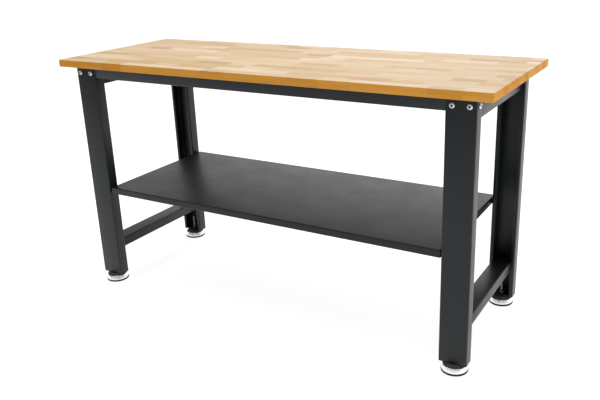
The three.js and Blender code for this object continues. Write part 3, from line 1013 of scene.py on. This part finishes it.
bolts = []
for tag, row_side, end_side in leg_places:
    outwards = Vector((0, row_side, 0))
    sideways = Vector((end_side, 0, 0))
    bolts += [
        (f"web_bolt_{tag}_inner", f"web_nut_{tag}_inner", outwards, frame_size),
        (f"web_bolt_{tag}_outer", f"web_nut_{tag}_outer", outwards, frame_size),
        (f"flange_bolt_{tag}", f"flange_nut_{tag}", sideways, frame_size),
        (f"shelf_bolt_{tag}", f"tray_nut_{tag}", sideways, tray_size),
    ]

for node, nut_name, way, size in bolts:
    model = frame_bolt if size is frame_size else tray_bolt
    under_head = end_of(node, way) - way * (head_seat + size.head_height)
    bolt = copy_to(model, f"button_{node}", under_head, facing(way))
    hand_over(bolt, zinc_plate, "frame", "zinc", node)

# %% [markdown]
# Behind each bolt sits a nut that is welded to the rail or to the shelf. A nut is a hexagon whose corners
# are turned off at both ends: the shape that is common to a hexagon and a low double cone. The cone is
# turned, and Boolean keeps what the two share.

# %% Hexagon nuts
nut_height = 6 * mm
chamfer_share = 0.6


def hexagon_nut(name, across_flats, height, bore):
    """A nut along Z, standing on zero, with its corners chamfered."""
    flat = across_flats / 2
    corner = to_corner(across_flats)
    drop = (corner - flat) * chamfer_share
    nut = bar(name, corner, 0, height, sides=6)
    outline = [(0, 0), (flat, 0), (corner, drop), (corner, height - drop), (flat, height), (0, height)]
    combine(nut, turned("cutter", outline, turned_steps), "INTERSECT")
    combine(nut, bar("cutter", bore, -past, height + past), "DIFFERENCE")
    ease_edges(nut, fine_break)
    return nut


frame_nut = hexagon_nut("bolt_nut", frame_size.nut_flats, nut_height, frame_size.nut_bore)
tray_nut = hexagon_nut("tray_nut", tray_size.nut_flats, nut_height, tray_size.nut_bore)
for node, nut_name, way, size in bolts:
    model = frame_nut if size is frame_size else tray_nut
    nut = copy_to(model, nut_name, end_of(node, -way) + way * size.tail, facing(way))
    hand_over(nut, zinc_plate, "frame", "zinc")

# %% [markdown]
# The top is held by wood screws that come up through the rails. Only their low heads show, from below. The
# head is turned, and a cross is cut into it with two crossed bars.

# %% Screws into the top
screw_steps = 24
screw_shank = 2.5 * mm
screw_point = 4 * mm
screw_head_height = 3 * mm
pan_shares = ((0.55, 0), (0.86, 0.25), (1, 0.7), (1, 1))
recess_reach = 2.6 * mm
recess_half_width = 0.55 * mm
recess_depth = 1.6 * mm


def round_size(node):
    """The bottom, the top and the radius of a round piece that stands along Z."""
    low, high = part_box(node)
    return low.z, high.z, (high.x - low.x) / 2


def middle_of(node, height=0):
    """The point over the middle of a node at a height."""
    low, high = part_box(node)
    return Vector(((low.x + high.x) / 2, (low.y + high.y) / 2, height))


bottom, top, head = round_size("top_screw_front_left")
length = top - bottom
outline = [(0, 0)] + [(head * across, screw_head_height * up) for across, up in pan_shares]
outline += [(screw_shank, screw_head_height), (screw_shank, length - screw_point), (0, length)]
top_screw = turned("top_screw", outline, screw_steps)
for x, y in ((recess_reach, recess_half_width), (recess_half_width, recess_reach)):
    combine(top_screw, block("cutter", (-x, -y, -past), (x, y, recess_depth)), "DIFFERENCE")

screw_places = [f"{row}_{spot}" for row in rows for spot in ("left", "middle", "right")]
for spot in screw_places + ["side_left", "side_right"]:
    node = f"top_screw_{spot}"
    screw = copy_to(top_screw, f"wood_screw_{spot}", middle_of(node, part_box(node)[0].z))
    hand_over(screw, zinc_plate, "frame", "zinc", node)

# %% [markdown]
# A levelling foot stands on a rubber pad in a plated dish. The dish is pressed from sheet, so its shoulder
# and its rim are round. The corners of a piece could be beveled after turning, but rounding the line that
# is turned is surer: each corner becomes a small curve between the two runs that meet there.

# %% Dish
foot_steps = 72
corner_steps = 4
longest_round = 0.45
stem_radius = 6 * mm
stem_gap = 0.4 * mm
dish_sheet = 2 * mm
dish_taper = 3.8 * mm
dish_rim = 3 * mm
dish_round = 2.2 * mm
dish_inner_round = 0.8 * mm


def rounded(corners, radius):
    """A line through the corners with every corner but the first and the last rounded."""
    points = [Vector(corner) for corner in corners]
    line = [points[0]]
    for before, corner, after in zip(points, points[1:], points[2:]):
        back, on = before - corner, after - corner
        start = corner + back.normalized() * min(radius, back.length * longest_round)
        end = corner + on.normalized() * min(radius, on.length * longest_round)
        for step in range(corner_steps + 1):
            share = step / corner_steps
            line.append((1 - share) ** 2 * start + 2 * share * (1 - share) * corner + share ** 2 * end)
    line.append(points[-1])
    return [(point.x, point.y) for point in line]


bottom, top, rim = round_size("dish_front_left")
crown = rim - dish_taper
inner_rim = rim - dish_sheet
bore = stem_radius + stem_gap
outside = [(inner_rim, bottom), (rim, bottom), (rim, bottom + dish_rim), (crown, top), (bore, top)]
inside = [(bore, top), (bore, top - dish_sheet), (crown - dish_sheet, top - dish_sheet)]
inside += [(inner_rim, bottom + dish_rim), (inner_rim, bottom)]
dish = turned("dish", rounded(outside, dish_round)[:-1] + rounded(inside, dish_inner_round), foot_steps)
print("dish", round(2 * rim / mm, 1), "mm across")

# %% [markdown]
# The rubber pad reaches a little past the dish. It has a shallow groove round its rim for grip, and a plug
# on its upper side that fills the dish. It is turned too, and its edges are eased afterwards, because rubber
# comes out of its mould with small even rounds.

# %% Pad
close_gap = 0.3 * mm
pad_chamfer = 1 * mm
pad_lip = 0.6 * mm
groove_depth = 0.5 * mm
groove_heights = (2.6 * mm, 3.0 * mm, 3.6 * mm, 4.0 * mm)

bottom, top, rim = round_size("pad_front_left")
groove = rim - groove_depth
shoulder = round_size("dish_front_left")[0] - close_gap
plug = rim - pad_chamfer - dish_taper - dish_sheet - close_gap
outline = [(0, bottom), (rim - pad_chamfer, bottom), (rim, bottom + pad_chamfer)]
outline += zip((rim, groove, groove, rim), groove_heights)
outline += [(rim, shoulder - pad_lip), (rim - pad_lip, shoulder)]
outline += [(plug, shoulder), (plug, top), (0, top)]
pad = turned("pad", outline, foot_steps)
ease_edges(pad, fine_break, sharper_than=30)
print("pad", round(2 * rim / mm, 1), "mm across")

# %% [markdown]
# The black hub is what a hand turns to level the bench. It is widest at its foot, drawn in towards its top,
# and its upper face steps down round the stem. Every part of it is round, so it is turned like the dish.

# %% Hub
hub_lip = 1.8 * mm
hub_flare = 8 * mm
hub_round = 1.2 * mm
step_outside = 0.62
step_inside = 0.56
step_depth = 0.8 * mm

bottom, top, rim = round_size("hub_front_left")
bore = stem_radius + close_gap
outline = [(bore, bottom), (rim, bottom), (rim, bottom + hub_lip), (rim - hub_flare, top)]
outline += [(rim * step_outside, top), (rim * step_inside, top - step_depth)]
outline += [(bore, top - step_depth), (bore, bottom)]
hub = turned("hub", rounded(outline, hub_round), foot_steps)
print("hub", round(2 * rim / mm, 1), "mm across")

# %% [markdown]
# The stem is a turned rod with a flange that sits in the dish, a plain neck in the hub and a thread above. A
# thread could be a bump in the material, but the rod's outline would stay smooth, so this one is a real
# helix: a small ridge that the Screw modifier winds up the stem.

# %% Threaded stem
thread_pitch = 1.75 * mm
thread_depth = 1.0 * mm
thread_start = 36 * mm
thread_stop = 1.2 * mm
thread_steps = 24
ridge_sink = 0.2 * mm
ridge_shares = (0.42, 0.52, 0.94)
flange_height = 4 * mm
stem_chamfer = 1 * mm
stem_break = 0.3 * mm

bottom, top, flange = round_size("stem_front_left")
core = stem_radius - thread_depth
outline = [(0, bottom), (flange, bottom), (flange, bottom + flange_height)]
outline += [(stem_radius, bottom + flange_height), (stem_radius, thread_start - stem_chamfer)]
outline += [(core, thread_start), (core, top - stem_chamfer), (core - stem_chamfer, top), (0, top)]
stem = turned("stem", outline, turned_steps)
ease_edges(stem, stem_break, sharper_than=60)

root = core - ridge_sink
rise, crest, fall = (thread_start + thread_pitch * share for share in ridge_shares)
ridge = [(root, thread_start), (stem_radius, rise), (stem_radius, crest), (root, fall), (root, thread_start)]
thread = half_section("thread", ridge)
bpy.ops.mesh.remove_doubles(threshold=merge_distance)
turns = int((top - thread_stop - thread_start) / thread_pitch) - 1
modify(
    thread, "SCREW", axis="Z", angle=2 * pi, screw_offset=thread_pitch, iterations=turns,
    steps=thread_steps, render_steps=thread_steps, use_merge_vertices=False, use_normal_calculate=True,
)
pick(thread, "EDGE", lambda edge: edge.is_boundary)
bpy.ops.mesh.fill_holes(sides=0)
close_seams()
print("thread", turns, "turns,", len(thread.data.polygons), "faces")
join_pieces(stem, thread)

# %% [markdown]
# Every foot screws into a nut on a plate in the bottom of its leg. The hub and the stem turn together, so
# they ride on one body, and the dish and the pad only slide, so they ride on another. The foot was modelled
# once, standing at the origin, and is copied under each leg. A plate is drilled for each leg, because it
# has to fit between the folds of that leg.

# %% Feet in their places
stem_nut_flats = 19 * mm


def make_foot_plate(tag):
    """A plate across the bottom of a leg, with its corners rounded to the leg's folds."""
    low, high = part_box(f"foot_plate_{tag}")
    plate = block(f"stem_plate_{tag}", low, high)
    pick(plate, "EDGE", runs_along(Z))
    bpy.ops.mesh.bevel(offset=leg_bend, segments=bend_steps, affect="EDGES")
    hole = stem_radius + stem_gap
    drill = bar("cutter", hole, low.z - 2 * past, low.z + 2 * past, middle_of(f"hub_{tag}"))
    combine(plate, drill, "DIFFERENCE")
    coat_steel(plate, f"foot_plate_{tag}")


low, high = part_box("weld_nut_front_left")
stem_nut = hexagon_nut("stem_nut", stem_nut_flats, high.z - low.z, stem_radius + close_gap)
foot_models = {
    "dish": (dish, dish_plate, "chrome", "foot"),
    "pad": (pad, pad_rubber, "rubber", "foot"),
    "hub": (hub, hub_plastic, "black_plastic", "adjuster"),
    "stem": (stem, stem_zinc, "zinc", "adjuster"),
}
for tag, row_side, end_side in leg_places:
    for kind, (model, finish, slot, body) in foot_models.items():
        piece = copy_to(model, f"foot_{kind}_{tag}", middle_of(f"hub_{tag}"))
        hand_over(piece, finish, f"{body}_{tag}", slot, f"{kind}_{tag}")
    nut = copy_to(stem_nut, f"stem_nut_{tag}", middle_of(f"hub_{tag}", low.z))
    hand_over(nut, dull_steel_and_painted_socket_shade, "frame", "zinc", f"weld_nut_{tag}")
    make_foot_plate(tag)

# %% [markdown]
# The side rails and stretchers are welded to the lips of the legs. A weld bead is a row of small overlapping
# ripples, so it is turned from a wavy line and laid in the corner between the two sheets, half sunk in them.
# All the beads at one end of the bench are one piece.

# %% Weld beads
bead_radius = 2.0 * mm
bead_inset = 4 * mm
bead_steps = 12
ripple_pitch = 3.2 * mm
ripple_shares = (0.15, 0.5, 0.85)
ripple_low = 0.80
ripple_rise = 0.20
taper_start = 0.3
taper_length = 1.5


def weld_bead(length):
    """A rippled bead along Z that starts at zero and tapers at both ends."""
    ripples = round(length / ripple_pitch)
    outline = [(0, 0)]
    for index in range(ripples):
        for share in ripple_shares:
            done, left = index + share, ripples - index - share
            swell = ripple_low + ripple_rise * sin(share * pi)
            taper = min(1.0, (done + taper_start) / taper_length, (left + taper_start) / taper_length)
            outline.append((bead_radius * swell * taper, done / ripples * length))
    outline.append((0, length))
    return turned("bead", outline, bead_steps)


def seams_of(node, end):
    """A bead at each corner where a cross piece meets the lips of the two legs at one end."""
    low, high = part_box(node)
    bead = weld_bead(high.z - low.z - 2 * bead_inset)
    seams = []
    for row, row_side in rows.items():
        leg_low, leg_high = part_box(f"leg_{row}_{end}")
        lip = outer_and_inner(leg_low.y, leg_high.y, row_side)[1]
        for side in (low.x, high.x):
            seams.append(copy_to(bead, "weld_seam", Vector((side, lip, low.z + bead_inset))))
    bpy.data.objects.remove(bead)
    return seams


for end in ends:
    welds = join_pieces(*seams_of(f"side_rail_{end}", end), *seams_of(f"stretcher_{end}", end))
    rename(welds, f"weld_beads_{end}")
    hand_over(welds, powder_coat, "frame", "powder_coat")

# %% [markdown]
# The models that were copied are not part of the bench, so they go.

# %% Clear up and finish
for model in (frame_bolt, tray_bolt, frame_nut, tray_nut, top_screw, stem_nut, dish, pad, hub, stem):
    bpy.data.objects.remove(model)
clear_selection()
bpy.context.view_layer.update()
